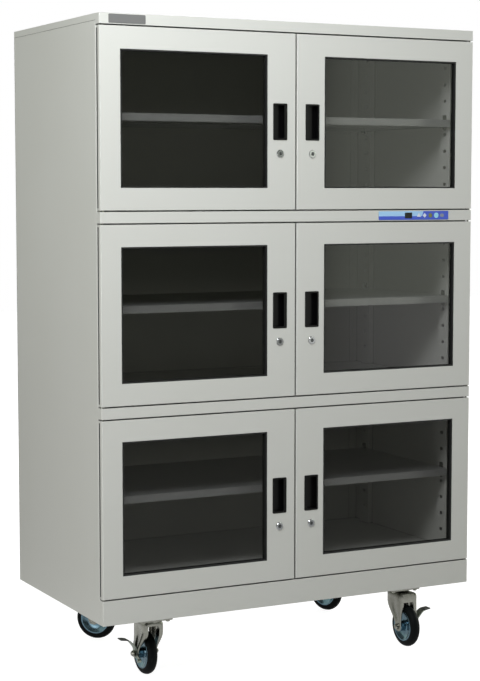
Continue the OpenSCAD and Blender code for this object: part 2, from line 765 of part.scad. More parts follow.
module wheel(i) {
    half = tyre_w / 2;
    boss_l = fork_w / 2 - fork_t - gap;
    bore_r = axle_d / 2 + fit;
    rim_r = hub_d / 2 - hub_rim_w;
    turned(i) translate([0, trail, axle_z]) rotate([0, 90, 0]) {
        color(rubber) translate([0, 0, -half]) rotate_extrude() difference() {
            translate([hub_d / 2 - tread_r, 0])
                round_rect(wheel_d / 2 - hub_d / 2 + tread_r, tyre_w, tread_r);
            translate([0, -cut]) square([hub_d / 2, tyre_w + 2 * cut]);
        }
        color(zinc) rotate_extrude() polygon([
            [bore_r, -boss_l], [boss_d / 2, -boss_l], [boss_d / 2, -web_t / 2],
            [dish_d / 2, -web_t / 2], [rim_r, dish_deep - half], [rim_r, -half],
            [hub_d / 2, -half], [hub_d / 2, half],
            [rim_r, half], [rim_r, half - dish_deep], [dish_d / 2, web_t / 2],
            [boss_d / 2, web_t / 2], [boss_d / 2, boss_l], [bore_r, boss_l]]);
    }
}

// Brake lever: a pressed plate on the axle outside the fork, with a foot tab above and a curled tail below
lever_hub_r = 14;
tab_reach = 76;
tab_w = 30;
tab_rise = 34;
tab_back = 16;
tab_tilt = 8;
tail_reach = 36;
tail_drop = 20;
tail_r = 6;
curl_l = 11;

module brake_lever(i) {
    lever_x = fork_w / 2 + gap;
    tab_top = [tab_back + tab_w / 2 - lever_t, tab_rise - lever_t / 2];
    tab_low = [tab_back - tab_w / 2 + lever_t, tab_rise - lever_t / 2];
    tail = [-tail_reach, -tail_drop];
    tail_side = tail_r * [tail_drop, -tail_reach] / norm(tail);
    color(steel) turned(i) translate([0, trail, axle_z]) {
        translate([-lever_x - lever_t, 0, 0]) rotate([90, 0, 90]) linear_extrude(lever_t) difference() {
            union() {
                circle(lever_hub_r);
                translate(tail) circle(tail_r);
                polygon([tab_top, tangent(tab_top, [0, 0], lever_hub_r, -1), [0, 0],
                    tangent(tab_low, [0, 0], lever_hub_r, 1), tab_low]);
                polygon([tail + tail_side, tail - tail_side, -tail_side, tail_side]);
            }
            circle(d = axle_d + 2 * fit);
        }
        translate([-lever_x, tab_back - tab_w / 2, tab_rise - lever_t]) rotate([0, tab_tilt, 0])
            translate([lever_x - tab_reach, 0, 0]) linear_extrude(lever_t) union() {
                translate([lever_t, 0]) square([tab_reach - lever_x - 1.5 * lever_t, tab_w]);
                round_rect(tab_w, tab_w, 2 * lever_t);
            }
        translate([-lever_x - curl_l, tail[0], tail[1]]) rotate([0, 90, 0])
            cylinder(r = tail_r - lever_t / 4, h = curl_l - lever_t / 2);
    }
}

side_panel(-1);  // side_panel_left
side_panel(1);  // side_panel_right
back_panel();
top_cover();
floor_pan();
front_header();
mid_rails();
front_plinth();
centre_post();
row_decks();
shelf_uprights();
shelf_clips();
shelves();
door_seals();
hinge_pins();
drying_unit();
control_panel();
power_inlet();
caster_mounts();
caster_plates();
door_shell(2, -1);  // door_top_left
door_shell(2, 1);  // door_top_right
door_shell(1, -1);  // door_mid_left
door_shell(1, 1);  // door_mid_right
door_shell(0, -1);  // door_low_left
door_shell(0, 1);  // door_low_right
glass_pane(2, -1);  // glass_top_left
glass_pane(2, 1);  // glass_top_right
glass_pane(1, -1);  // glass_mid_left
glass_pane(1, 1);  // glass_mid_right
glass_pane(0, -1);  // glass_low_left
glass_pane(0, 1);  // glass_low_right
gasket(2, -1);  // gasket_top_left
gasket(2, 1);  // gasket_top_right
gasket(1, -1);  // gasket_mid_left
gasket(1, 1);  // gasket_mid_right
gasket(0, -1);  // gasket_low_left
gasket(0, 1);  // gasket_low_right
pull(2, -1);  // pull_top_left
pull(2, 1);  // pull_top_right
pull(1, -1);  // pull_mid_left
pull(1, 1);  // pull_mid_right
pull(0, -1);  // pull_low_left
pull(0, 1);  // pull_low_right
lock(2, -1);  // lock_top_left
lock(2, 1);  // lock_top_right
lock(1, -1);  // lock_mid_left
lock(1, 1);  // lock_mid_right
lock(0, -1);  // lock_low_left
lock(0, 1);  // lock_low_right
fork(0, true);  // fork_front_left
fork(1, true);  // fork_front_right
fork(2, false);  // fork_back_left
fork(3, false);  // fork_back_right
wheel(0);  // wheel_front_left
wheel(1);  // wheel_front_right
wheel(2);  // wheel_back_left
wheel(3);  // wheel_back_right
brake_lever(0);  // brake_lever_left
brake_lever(1);  // brake_lever_right
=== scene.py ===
import json
import math

import bmesh
import bpy
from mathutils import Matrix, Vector


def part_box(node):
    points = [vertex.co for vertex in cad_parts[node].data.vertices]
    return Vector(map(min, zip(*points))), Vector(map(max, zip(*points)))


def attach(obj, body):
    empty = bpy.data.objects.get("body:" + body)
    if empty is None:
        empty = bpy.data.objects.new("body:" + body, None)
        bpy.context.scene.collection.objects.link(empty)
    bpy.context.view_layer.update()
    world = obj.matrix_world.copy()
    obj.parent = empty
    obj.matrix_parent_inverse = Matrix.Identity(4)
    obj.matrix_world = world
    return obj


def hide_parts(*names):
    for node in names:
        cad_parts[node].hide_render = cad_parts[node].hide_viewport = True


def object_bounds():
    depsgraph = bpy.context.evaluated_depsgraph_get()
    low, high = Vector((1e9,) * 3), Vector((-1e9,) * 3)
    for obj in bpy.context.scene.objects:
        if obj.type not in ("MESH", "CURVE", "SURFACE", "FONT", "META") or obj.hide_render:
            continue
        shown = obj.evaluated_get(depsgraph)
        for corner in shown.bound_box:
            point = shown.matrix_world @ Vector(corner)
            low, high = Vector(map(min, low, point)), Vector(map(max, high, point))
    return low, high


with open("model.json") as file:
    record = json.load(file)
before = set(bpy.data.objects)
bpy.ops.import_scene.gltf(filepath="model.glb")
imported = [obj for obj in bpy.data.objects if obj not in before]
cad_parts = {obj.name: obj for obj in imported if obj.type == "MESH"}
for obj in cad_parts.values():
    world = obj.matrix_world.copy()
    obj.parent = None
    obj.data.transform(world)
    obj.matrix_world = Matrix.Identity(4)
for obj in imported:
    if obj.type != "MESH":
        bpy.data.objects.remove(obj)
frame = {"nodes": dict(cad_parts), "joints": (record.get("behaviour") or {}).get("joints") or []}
cad_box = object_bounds()
scene = bpy.context.scene
scene.view_settings.view_transform = "Standard"


# Camera
# It stands to the left of the cabinet at about chest height and looks slightly down, as the photograph does.
# Its place and lens come from a fit to the corners of the cabinet, for a picture 480 by 681.
PHOTO_H = 681
FOCAL_PX = 1736.4
SENSOR_H = 24
EYE_PLACE = (-2.4070, -4.6365, 1.3765)
EYE_TILT = 85.062
EYE_TURN = -27.318

eye = bpy.data.cameras.new("view_lens")
eye.sensor_fit = "VERTICAL"
eye.sensor_height = SENSOR_H
eye.lens = FOCAL_PX / PHOTO_H * SENSOR_H
camera = bpy.data.objects.new("view_camera", eye)
camera.location = EYE_PLACE
camera.rotation_euler = (math.radians(EYE_TILT), 0, math.radians(EYE_TURN))
scene.collection.objects.link(camera)
scene.camera = camera


# Studio
# A seamless floor of matt paper takes the soft shadow of the cabinet, in a room that is white to the eye.
# Gloss mirrors a front that is dim, but for a bright wall and floor far off to the right, as in the windows.
# Four softboxes light the cabinet at a plain level.
FLOOR_REACH = 14
PAPER_WHITE = "#B0B0B0"
PAPER_LIFT = 0.93
NEAR_REACH = 0.9
NEAR_LIFT = 0.5
FAR_REACH = 5.5
FAR_LIFT = 1.2
FAN_FRONT = (-2.4, 4.0)
FAN_REAR = (0.0, 0.33)
FAN_LEAST = 0.1
FAN_SLOPE = (0.544, 0.614)


def linear(code):
    """Linear colour of an sRGB hex value such as #C8C8C2."""
    shares = [int(code[i:i + 2], 16) / 255 for i in (1, 3, 5)]
    return [s / 12.92 if s <= 0.04045 else ((s + 0.055) / 1.055) ** 2.4 for s in shares] + [1]


def add(tree, kind, settings):
    """Adds a node, sets its properties and sockets by name or number, and links sockets that are given.

    A Mix node takes numbers at 2 and 3 or colours at 6 and 7. It gives a number at output 0, a colour at 2.
    """
    made = tree.nodes.new(kind)
    for key, value in settings.items():
        if isinstance(key, str) and key not in made.inputs:
            setattr(made, key, value)
        elif isinstance(value, bpy.types.NodeSocket):
            tree.links.new(value, made.inputs[key])
        else:
            made.inputs[key].default_value = value
    return made


def blank_material(name):
    """A material with an empty node tree."""
    material = bpy.data.materials.new(name)
    material.use_nodes = True
    material.node_tree.nodes.clear()
    return material, material.node_tree


# The paper is lifted to white for the eye. A mirror shows it where it is close by, and far off only in a fan
# of floor to the right. Its sides run from FAN_FRONT and FAN_REAR and fade in over the slopes in FAN_SLOPE.
# FAN_LEAST keeps the run along Y above zero where the floor lies beyond one of these points.
paper, tree = blank_material("matt_background_paper")
ray = add(tree, "ShaderNodeLightPath", {})
close_by = add(tree, "ShaderNodeMath", {
    "operation": "LESS_THAN", 0: ray.outputs["Ray Length"], 1: NEAR_REACH})
near_lift = add(tree, "ShaderNodeMath", {"operation": "MULTIPLY", 0: close_by.outputs[0], 1: NEAR_LIFT})
far_off = add(tree, "ShaderNodeMath", {
    "operation": "GREATER_THAN", 0: ray.outputs["Ray Length"], 1: FAR_REACH})
spot = add(tree, "ShaderNodeNewGeometry", {})
ground = add(tree, "ShaderNodeSeparateXYZ", {"Vector": spot.outputs["Position"]})
slopes = []
for (corner_x, corner_y), sign in ((FAN_FRONT, -1), (FAN_REAR, 1)):
    rightward = add(tree, "ShaderNodeMath", {
        "operation": "SUBTRACT", 0: ground.outputs["X"], 1: corner_x})
    along_y = add(tree, "ShaderNodeMath", {
        "operation": "MULTIPLY_ADD", 0: ground.outputs["Y"], 1: sign, 2: -sign * corner_y})
    away = add(tree, "ShaderNodeMath", {"operation": "MAXIMUM", 0: along_y.outputs[0], 1: FAN_LEAST})
    slopes.append(add(tree, "ShaderNodeMath", {
        "operation": "DIVIDE", 0: rightward.outputs[0], 1: away.outputs[0]}))
lesser = add(tree, "ShaderNodeMath", {
    "operation": "MINIMUM", 0: slopes[0].outputs[0], 1: slopes[1].outputs[0]})
in_fan = add(tree, "ShaderNodeMapRange", {
    "Value": lesser.outputs[0], "From Min": FAN_SLOPE[0], "From Max": FAN_SLOPE[1],
    "To Min": 0.0, "To Max": FAR_LIFT})
far_lift = add(tree, "ShaderNodeMath", {
    "operation": "MULTIPLY", 0: far_off.outputs[0], 1: in_fan.outputs["Result"]})
both_lifts = add(tree, "ShaderNodeMath", {
    "operation": "ADD", 0: near_lift.outputs[0], 1: far_lift.outputs[0]})
mirrored = add(tree, "ShaderNodeMath", {
    "operation": "MULTIPLY", 0: ray.outputs["Is Glossy Ray"], 1: both_lifts.outputs[0]})
looked_at = add(tree, "ShaderNodeMath", {
    "operation": "MAXIMUM", 0: ray.outputs["Is Camera Ray"], 1: ray.outputs["Is Transmission Ray"]})
seen = add(tree, "ShaderNodeMath", {"operation": "MAXIMUM", 0: looked_at.outputs[0], 1: mirrored.outputs[0]})
lift = add(tree, "ShaderNodeMath", {"operation": "MULTIPLY", 0: seen.outputs[0], 1: PAPER_LIFT})
sheet = add(tree, "ShaderNodeBsdfPrincipled", {
    "Base Color": linear(PAPER_WHITE), "Roughness": 0.9, "Specular IOR Level": 0.1,
    "Emission Color": (1, 1, 1, 1), "Emission Strength": lift.outputs[0]})
add(tree, "ShaderNodeOutputMaterial", {"Surface": sheet.outputs[0]})

floor_mesh = bpy.data.meshes.new("floor_paper")
floor_mesh.from_pydata(
    [(x * FLOOR_REACH, y * FLOOR_REACH, cad_box[0][2]) for x, y in ((-1, -1), (1, -1), (1, 1), (-1, 1))],
    [], [(0, 1, 2, 3)])
floor_mesh.materials.append(paper)
floor = bpy.data.objects.new("floor_paper", floor_mesh)
scene.collection.objects.link(floor)

# The room's walls go by the direction they are seen in, as parts of 1 along X, Y and Z.
AMBIENT = 0.30
FRONT_GLOOM = 0.05
REAR_GLOW = 0.9
REAR_Y = (-0.35, 0.25)
WALL_GLOW = 1.7
WALL_X = (0.475, 0.52)
WALL_Z = (-0.17, -0.10)
WALL_FOOT = 0.05
ROOM_TINT = (1, 1, 0.95, 1)
MIRROR_TINT = (0.95, 1, 0.88, 1)
WHITE = (1, 1, 1, 1)

room = bpy.data.worlds.new("white_room")
room.use_nodes = True
tree = room.node_tree
tree.nodes.clear()
ray = add(tree, "ShaderNodeLightPath", {})
coords = add(tree, "ShaderNodeTexCoord", {})
heading = add(tree, "ShaderNodeSeparateXYZ", {"Vector": coords.outputs["Generated"]})
rear = add(tree, "ShaderNodeMapRange", {
    "interpolation_type": "SMOOTHSTEP", "Value": heading.outputs["Y"],
    "From Min": REAR_Y[0], "From Max": REAR_Y[1], "To Min": 0.0, "To Max": REAR_GLOW})
wall_x = add(tree, "ShaderNodeMapRange", {
    "interpolation_type": "SMOOTHSTEP", "Value": heading.outputs["X"],
    "From Min": WALL_X[0], "From Max": WALL_X[1], "To Min": 0.0, "To Max": 1.0})
wall_z = add(tree, "ShaderNodeMapRange", {
    "interpolation_type": "SMOOTHSTEP", "Value": heading.outputs["Z"],
    "From Min": WALL_Z[0], "From Max": WALL_Z[1], "To Min": WALL_FOOT, "To Max": 1.0})
wall = add(tree, "ShaderNodeMath", {
    "operation": "MULTIPLY", 0: wall_x.outputs["Result"], 1: wall_z.outputs["Result"]})
front = add(tree, "ShaderNodeMath", {
    "operation": "MULTIPLY_ADD", 0: wall.outputs[0], 1: WALL_GLOW, 2: FRONT_GLOOM})
in_mirror = add(tree, "ShaderNodeMath", {
    "operation": "MAXIMUM", 0: front.outputs[0], 1: rear.outputs["Result"]})
glossy = add(tree, "ShaderNodeMath", {
    "operation": "MAXIMUM", 0: ray.outputs["Is Glossy Ray"], 1: ray.outputs["Is Transmission Ray"]})
dim = add(tree, "ShaderNodeMix", {
    "data_type": "FLOAT", 0: glossy.outputs[0], 2: AMBIENT, 3: in_mirror.outputs[0]})
level = add(tree, "ShaderNodeMix", {
    "data_type": "FLOAT", 0: ray.outputs["Is Camera Ray"], 2: dim.outputs[0], 3: 1.0})
tint = add(tree, "ShaderNodeMix", {
    "data_type": "RGBA", 0: glossy.outputs[0], 6: ROOM_TINT, 7: MIRROR_TINT})
colour = add(tree, "ShaderNodeMix", {
    "data_type": "RGBA", 0: ray.outputs["Is Camera Ray"], 6: tint.outputs[2], 7: WHITE})
glow = add(tree, "ShaderNodeBackground", {"Color": colour.outputs[2], "Strength": level.outputs[0]})
add(tree, "ShaderNodeOutputWorld", {"Surface": glow.outputs[0]})
scene.world = room


def softbox(name, place, aim, width, height, power, colour=(1, 1, 1)):
    """A rectangular lamp that faces the point aim."""
    lamp = bpy.data.lights.new(name, "AREA")
    lamp.shape = "RECTANGLE"
    lamp.size = width
    lamp.size_y = height
    lamp.energy = power
    lamp.color = colour
    holder = bpy.data.objects.new(name, lamp)
    holder.location = place
    holder.rotation_euler = (Vector(aim) - Vector(place)).to_track_quat("-Z", "Y").to_euler()
    scene.collection.objects.link(holder)


softbox("key_softbox", place=(-1.2, -1.9, 2.9), aim=(0, 0, 1.1), width=1.0, height=1.0, power=66,
        colour=(0.93, 0.96, 1.0))
softbox("side_softbox", place=(-2.4, -0.9, 0.5), aim=(-0.6, -0.3, 0.5), width=1.2, height=1.0, power=9.5)
softbox("back_softbox", place=(2.4, 4.2, 2.8), aim=(0, 0.3, 0.9), width=2.0, height=2.0, power=70)
softbox("right_softbox", place=(4.4, -0.4, 1.8), aim=(0.6, 0, 0.9), width=2.0, height=2.4, power=42)


# Sheet metal body
# Panels, cover, front frame, floor pan, decks, post, uprights and door shells are folded sheet steel.
# They are sprayed with a light warm grey enamel and stoved, which leaves a satin skin with fine orange peel.
# The coat is paler at the edges, partly rubbed thin and partly a painted highlight, and the narrow gaps hold
# painted shade.
MM = 0.001
PEEL_MM = 2.4
PEEL_DEEP_MM = 0.02
SHADE_MM = 420
ENAMEL = "#D0D0CA"
ENAMEL_AGED = "#CBCBC3"
ENAMEL_EDGE_WORN_AND_LIT = "#D9D9D4"
EDGE_MM = 1.6
EDGE_TURN = (0.98, 0.80)
EDGE_WORN_AND_LIT_SHARE = 0.6
GAP_MM = 7
GAP_SHADE = "#1A1A18"
GAP_OPEN = (0.15, 0.75)
GAP_COAT_KEPT = 0.08
SATIN = (0.40, 0.48)

enamel, tree = blank_material("stoved_enamel_warm_grey")
coords = add(tree, "ShaderNodeTexCoord", {})
peel = add(tree, "ShaderNodeTexNoise", {
    "Vector": coords.outputs["Object"], "Scale": 1 / (PEEL_MM * MM), "Detail": 1.5, "Roughness": 0.4})
shade = add(tree, "ShaderNodeTexNoise", {
    "Vector": coords.outputs["Object"], "Scale": 1 / (SHADE_MM * MM), "Detail": 2.0})
aged = add(tree, "ShaderNodeMix", {
    "data_type": "RGBA", 0: shade.outputs["Fac"], 6: linear(ENAMEL), 7: linear(ENAMEL_AGED)})
# Edges are given a paler colour: partly wear, partly a painted highlight of the light that rounded edges
# catch.
bevel_normal = add(tree, "ShaderNodeBevel", {"samples": 4, "Radius": EDGE_MM * MM})
true_normal = add(tree, "ShaderNodeNewGeometry", {})
facing = add(tree, "ShaderNodeVectorMath", {
    "operation": "DOT_PRODUCT", 0: bevel_normal.outputs["Normal"], 1: true_normal.outputs["Normal"]})
edge = add(tree, "ShaderNodeMapRange", {
    "Value": facing.outputs["Value"], "From Min": EDGE_TURN[0], "From Max": EDGE_TURN[1],
    "To Min": 0.0, "To Max": EDGE_WORN_AND_LIT_SHARE})
edge_worn_and_lit = add(tree, "ShaderNodeMix", {
    "data_type": "RGBA", 0: edge.outputs["Result"], 6: aged.outputs[2], 7: linear(ENAMEL_EDGE_WORN_AND_LIT)})
# Painted shade: where ambient occlusion finds close surfaces, in gaps and inner corners, the colour goes
# towards near black.
crevice = add(tree, "ShaderNodeAmbientOcclusion", {"samples": 6, "Distance": GAP_MM * MM})
unshaded = add(tree, "ShaderNodeMapRange", {
    "Value": crevice.outputs["AO"], "From Min": GAP_OPEN[0], "From Max": GAP_OPEN[1],
    "To Min": GAP_COAT_KEPT, "To Max": 1.0})
coat = add(tree, "ShaderNodeMix", {
    "data_type": "RGBA", 0: unshaded.outputs["Result"], 6: linear(GAP_SHADE), 7: edge_worn_and_lit.outputs[2]})
sheen = add(tree, "ShaderNodeMapRange", {
    "Value": shade.outputs["Fac"], "To Min": SATIN[0], "To Max": SATIN[1]})
skin = add(tree, "ShaderNodeBump", {
    "Height": peel.outputs["Fac"], "Distance": PEEL_DEEP_MM * MM, "Strength": 0.6,
    "Normal": bevel_normal.outputs["Normal"]})
surface = add(tree, "ShaderNodeBsdfPrincipled", {
    "Base Color": coat.outputs[2], "Roughness": sheen.outputs["Result"], "IOR": 1.5,
    "Normal": skin.outputs[0]})
add(tree, "ShaderNodeOutputMaterial", {"Surface": surface.outputs[0]})


def finish_nodes(names, material):
    """Gives CAD nodes a material, in each of their slots."""
    for name in names:
        mesh = frame["nodes"][name].data
        if not mesh.materials:
            mesh.materials.append(material)
        for i in range(len(mesh.materials)):
            mesh.materials[i] = material


ROWS = ["top", "mid", "low"]
SIDES = ["left", "right"]
DOORS = [f"{row}_{side}" for row in ROWS for side in SIDES]

finish_nodes([
    "side_panel_left", "side_panel_right", "back_panel", "top_cover", "floor_pan", "front_header",
    "mid_rails", "front_plinth", "centre_post", "row_decks", "shelf_uprights", "caster_mounts"], enamel)
finish_nodes([f"door_{door}" for door in DOORS], enamel)


# Shelves
# Each shelf is a tray of stainless steel sheet, ground along its length and folded down at its edges.
# The grinding leaves fine lines from side to side, so a lamp shows in it as a bright soft band.
GRIND_ALONG_MM = 90
GRIND_ACROSS_MM = 1.2
GRIND_DEEP_MM = 0.03

stainless, tree = blank_material("ground_stainless_sheet")
coords = add(tree, "ShaderNodeTexCoord", {})
run = add(tree, "ShaderNodeMapping", {
    "Vector": coords.outputs["Object"],
    "Scale": (1 / (GRIND_ALONG_MM * MM), 1 / (GRIND_ACROSS_MM * MM), 1 / (GRIND_ACROSS_MM * MM))})
lines = add(tree, "ShaderNodeTexNoise", {"Vector": run.outputs["Vector"], "Scale": 1.0, "Detail": 3.0})
tone = add(tree, "ShaderNodeMix", {
    "data_type": "RGBA", 0: lines.outputs["Fac"], 6: linear("#9A9B99"), 7: linear("#B2B2AE")})
gloss = add(tree, "ShaderNodeMapRange", {"Value": lines.outputs["Fac"], "To Min": 0.26, "To Max": 0.42})
scratches = add(tree, "ShaderNodeBump", {
    "Height": lines.outputs["Fac"], "Distance": GRIND_DEEP_MM * MM, "Strength": 0.5})
surface = add(tree, "ShaderNodeBsdfPrincipled", {
    "Base Color": tone.outputs[2], "Metallic": 0.35, "Roughness": gloss.outputs["Result"],
    "Normal": scratches.outputs[0]})
add(tree, "ShaderNodeOutputMaterial", {"Surface": surface.outputs[0]})
finish_nodes(["shelves"], stainless)


# Shelf clips, pivot pins and caster plates
# These small steel parts are pressed or turned, then plated with zinc against rust, as the caster forks are.
# Zinc gives a grey metal with a faint mottle and a slightly duller skin than chrome.
MOTTLE_MM = 9
MOTTLE_DEEP_MM = 0.05
ZINC_LIGHT = "#A5A59C"
ZINC_DARK = "#7E7E76"

zinc, tree = blank_material("bright_zinc_plate")
coords = add(tree, "ShaderNodeTexCoord", {})
mottle = add(tree, "ShaderNodeTexNoise", {
    "Vector": coords.outputs["Object"], "Scale": 1 / (MOTTLE_MM * MM), "Detail": 4.0, "Roughness": 0.6})
tone = add(tree, "ShaderNodeMix", {
    "data_type": "RGBA", 0: mottle.outputs["Fac"], 6: linear(ZINC_DARK), 7: linear(ZINC_LIGHT)})
gloss = add(tree, "ShaderNodeMapRange", {"Value": mottle.outputs["Fac"], "To Min": 0.16, "To Max": 0.30})
dents = add(tree, "ShaderNodeBump", {
    "Height": mottle.outputs["Fac"], "Distance": MOTTLE_DEEP_MM * MM, "Strength": 0.4})
surface = add(tree, "ShaderNodeBsdfPrincipled", {
    "Base Color": tone.outputs[2], "Metallic": 1.0, "Roughness": gloss.outputs["Result"],
    "Normal": dents.outputs[0]})
add(tree, "ShaderNodeOutputMaterial", {"Surface": surface.outputs[0]})

CASTERS = ["front_left", "front_right", "back_left", "back_right"]
finish_nodes(["hinge_pins", "shelf_clips", "caster_plates"], zinc)
finish_nodes([f"fork_{caster}" for caster in CASTERS], zinc)
finish_nodes([f"brake_lever_{side}" for side in SIDES], zinc)


# Drying unit
# The unit behind the middle row is a box of hot dip galvanised sheet, let in through the back panel.
# Galvanising leaves flat crystals a centimetre or so across, each a slightly different grey.
SPANGLE_MM = 11

galvanised, tree = blank_material("galvanised_sheet")
coords = add(tree, "ShaderNodeTexCoord", {})
spangle = add(tree, "ShaderNodeTexVoronoi", {
    "Vector": coords.outputs["Object"], "Scale": 1 / (SPANGLE_MM * MM), "Randomness": 1.0})
tone = add(tree, "ShaderNodeMix", {
    "data_type": "RGBA", 0: spangle.outputs["Color"], 6: linear("#9A9D9F"), 7: linear("#B9BCBD")})
gloss = add(tree, "ShaderNodeMapRange", {
    "Value": spangle.outputs["Distance"], "To Min": 0.34, "To Max": 0.5})
surface = add(tree, "ShaderNodeBsdfPrincipled", {
    "Base Color": tone.outputs[2], "Metallic": 1.0, "Roughness": gloss.outputs["Result"]})
add(tree, "ShaderNodeOutputMaterial", {"Surface": surface.outputs[0]})
finish_nodes(["drying_unit"], galvanised)


# Door glass
# Each pane is toughened float glass, tinted in the melt. Its two faces hold back about half the light.
# It is drawn as a see-through sheet, so that lamps reach the inside of the cabinet.
GLASS_TINT = 0.25
WAVE_MM = 333.3
WAVE_DEEP_MM = 0.05

smoked, tree = blank_material("smoked_float_glass")
coords = add(tree, "ShaderNodeTexCoord", {})
wave = add(tree, "ShaderNodeTexNoise", {
    "Vector": coords.outputs["Object"], "Scale": 1 / (WAVE_MM * MM), "Detail": 0.0})
waviness = add(tree, "ShaderNodeBump", {
    "Height": wave.outputs["Fac"], "Distance": WAVE_DEEP_MM * MM, "Strength": 0.3})
surface = add(tree, "ShaderNodeBsdfPrincipled", {
    "Base Color": linear("#15160F"), "Roughness": 0.02, "IOR": 1.52, "Alpha": GLASS_TINT,
    "Specular IOR Level": 1.0, "Normal": waviness.outputs[0]})
add(tree, "ShaderNodeOutputMaterial", {"Surface": surface.outputs[0]})
finish_nodes([f"glass_{door}" for door in DOORS], smoked)


# Glazing gaskets and door seals
# Both are extruded black EPDM rubber. The gaskets grip the glass, and the seals hold a magnetic strip.
# Extruding leaves a matt skin with faint drag lines.
DRAG_MM = 0.8
DRAG_DEEP_MM = 0.04

epdm, tree = blank_material("extruded_epdm_rubber")
coords = add(tree, "ShaderNodeTexCoord", {})
drag = add(tree, "ShaderNodeTexNoise", {
    "Vector": coords.outputs["Object"], "Scale": 1 / (DRAG_MM * MM), "Detail": 2.0})
tone = add(tree, "ShaderNodeMix", {
    "data_type": "RGBA", 0: drag.outputs["Fac"], 6: linear("#0B0B0B"), 7: linear("#171717")})
grip = add(tree, "ShaderNodeBump", {
    "Height": drag.outputs["Fac"], "Distance": DRAG_DEEP_MM * MM, "Strength": 0.5})
surface = add(tree, "ShaderNodeBsdfPrincipled", {
    "Base Color": tone.outputs[2], "Roughness": 0.62, "IOR": 1.5, "Normal": grip.outputs[0]})
add(tree, "ShaderNodeOutputMaterial", {"Surface": surface.outputs[0]})
finish_nodes([f"gasket_{door}" for door in DOORS] + ["door_seals"], epdm)


# Door pulls and power inlet
# The recessed pulls and the inlet are injection moulded in black ABS and snapped into their openings.
# ABS out of a polished mould has a soft even gloss, with a very faint ripple.
RIPPLE_MM = 14
RIPPLE_DEEP_MM = 0.08

abs_black, tree = blank_material("moulded_black_abs")
coords = add(tree, "ShaderNodeTexCoord", {})
ripple = add(tree, "ShaderNodeTexNoise", {
    "Vector": coords.outputs["Object"], "Scale": 1 / (RIPPLE_MM * MM), "Detail": 2.0})
tone = add(tree, "ShaderNodeMix", {
    "data_type": "RGBA", 0: ripple.outputs["Fac"], 6: linear("#030303"), 7: linear("#070708")})
flow = add(tree, "ShaderNodeBump", {
    "Height": ripple.outputs["Fac"], "Distance": RIPPLE_DEEP_MM * MM, "Strength": 0.4})
surface = add(tree, "ShaderNodeBsdfPrincipled", {
    "Base Color": tone.outputs[2], "Roughness": 0.34, "IOR": 1.53, "Specular IOR Level": 0.25,
    "Normal": flow.outputs[0]})
add(tree, "ShaderNodeOutputMaterial", {"Surface": surface.outputs[0]})
finish_nodes([f"pull_{door}" for door in DOORS] + ["power_inlet"], abs_black)


# Door locks
# The cam locks are die cast zinc, polished and chromium plated over nickel.
# Chromium gives a bright bluish mirror, with fine rubbed hairlines from the keys.
HAIR_MM = 1.1111
HAIR_DEEP_MM = 0.01

chrome, tree = blank_material("chromium_plate")
coords = add(tree, "ShaderNodeTexCoord", {})
hair = add(tree, "ShaderNodeTexNoise", {
    "Vector": coords.outputs["Object"], "Scale": 1 / (HAIR_MM * MM), "Detail": 2.0})
gloss = add(tree, "ShaderNodeMapRange", {"Value": hair.outputs["Fac"], "To Min": 0.05, "To Max": 0.14})
rub = add(tree, "ShaderNodeBump", {
    "Height": hair.outputs["Fac"], "Distance": HAIR_DEEP_MM * MM, "Strength": 0.3})
surface = add(tree, "ShaderNodeBsdfPrincipled", {
    "Base Color": linear("#D5D7D8"), "Metallic": 1.0, "Roughness": gloss.outputs["Result"],
    "Normal": rub.outputs[0]})
add(tree, "ShaderNodeOutputMaterial", {"Surface": surface.outputs[0]})
finish_nodes([f"lock_{door}" for door in DOORS], chrome)


# Keypad film
# A sheet of polyester, printed on its back in two blues and glued to the upper rail.
# The film is glossy, and its print shows through it without any texture of its own.
# The light blue ends in a slanting edge and leaves a dark band below it.
FILM_DARK = "#4A60C8"
FILM_LIGHT = "#A6CFF0"
SLANT = 0.35
LIGHT_END_SHARE = 0.62
LIGHT_FOOT_SHARE = 0.42

film_low, film_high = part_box("control_panel")
film_mid_z = (film_low.z + film_high.z) / 2
slant_x = film_low.x + (film_high.x - film_low.x) * LIGHT_END_SHARE - SLANT * film_mid_z
light_foot_z = film_low.z + (film_high.z - film_low.z) * LIGHT_FOOT_SHARE

film, tree = blank_material("printed_polyester_film")
coords = add(tree, "ShaderNodeTexCoord", {})
along = add(tree, "ShaderNodeSeparateXYZ", {"Vector": coords.outputs["Object"]})
lean = add(tree, "ShaderNodeMath", {
    "operation": "MULTIPLY_ADD", 0: along.outputs["Z"], 1: -SLANT, 2: along.outputs["X"]})
left = add(tree, "ShaderNodeMath", {"operation": "LESS_THAN", 0: lean.outputs[0], 1: slant_x})
upper = add(tree, "ShaderNodeMath", {"operation": "GREATER_THAN", 0: along.outputs["Z"], 1: light_foot_z})
light_part = add(tree, "ShaderNodeMath", {"operation": "MULTIPLY", 0: left.outputs[0], 1: upper.outputs[0]})
two_blues = add(tree, "ShaderNodeMix", {
    "data_type": "RGBA", 0: light_part.outputs[0], 6: linear(FILM_DARK), 7: linear(FILM_LIGHT)})
surface = add(tree, "ShaderNodeBsdfPrincipled", {
    "Base Color": two_blues.outputs[2], "Roughness": 0.3, "IOR": 1.57, "Specular IOR Level": 0.2})
add(tree, "ShaderNodeOutputMaterial", {"Surface": surface.outputs[0]})
finish_nodes(["control_panel"], film)


# Wheels
# Each wheel is a black rubber tyre moulded on a pressed steel hub, which turns on the axle bolt.
# The hub is pressed in rings and zinc plated, with a blue tint from its passivation.
# The tyre has a crowned tread with a fine mould seam and a dull, slightly scuffed skin.
TYRE_W = 30 * MM
BEAD_R = 46 * MM
BEAD_EASE = (2 * MM, 1 * MM)
SHOULDER_R = 13 * MM
SHOULDER_TURNS = (90, 8)
SHOULDER_STEPS = 8
SEAM_HALF = 1 * MM
SEAM_PROUD = 0.6 * MM
SCUFF_MM = 6
SCUFF_DEEP_MM = 0.1
LATHE_STEPS = 96
LATHE_CREASE = 32

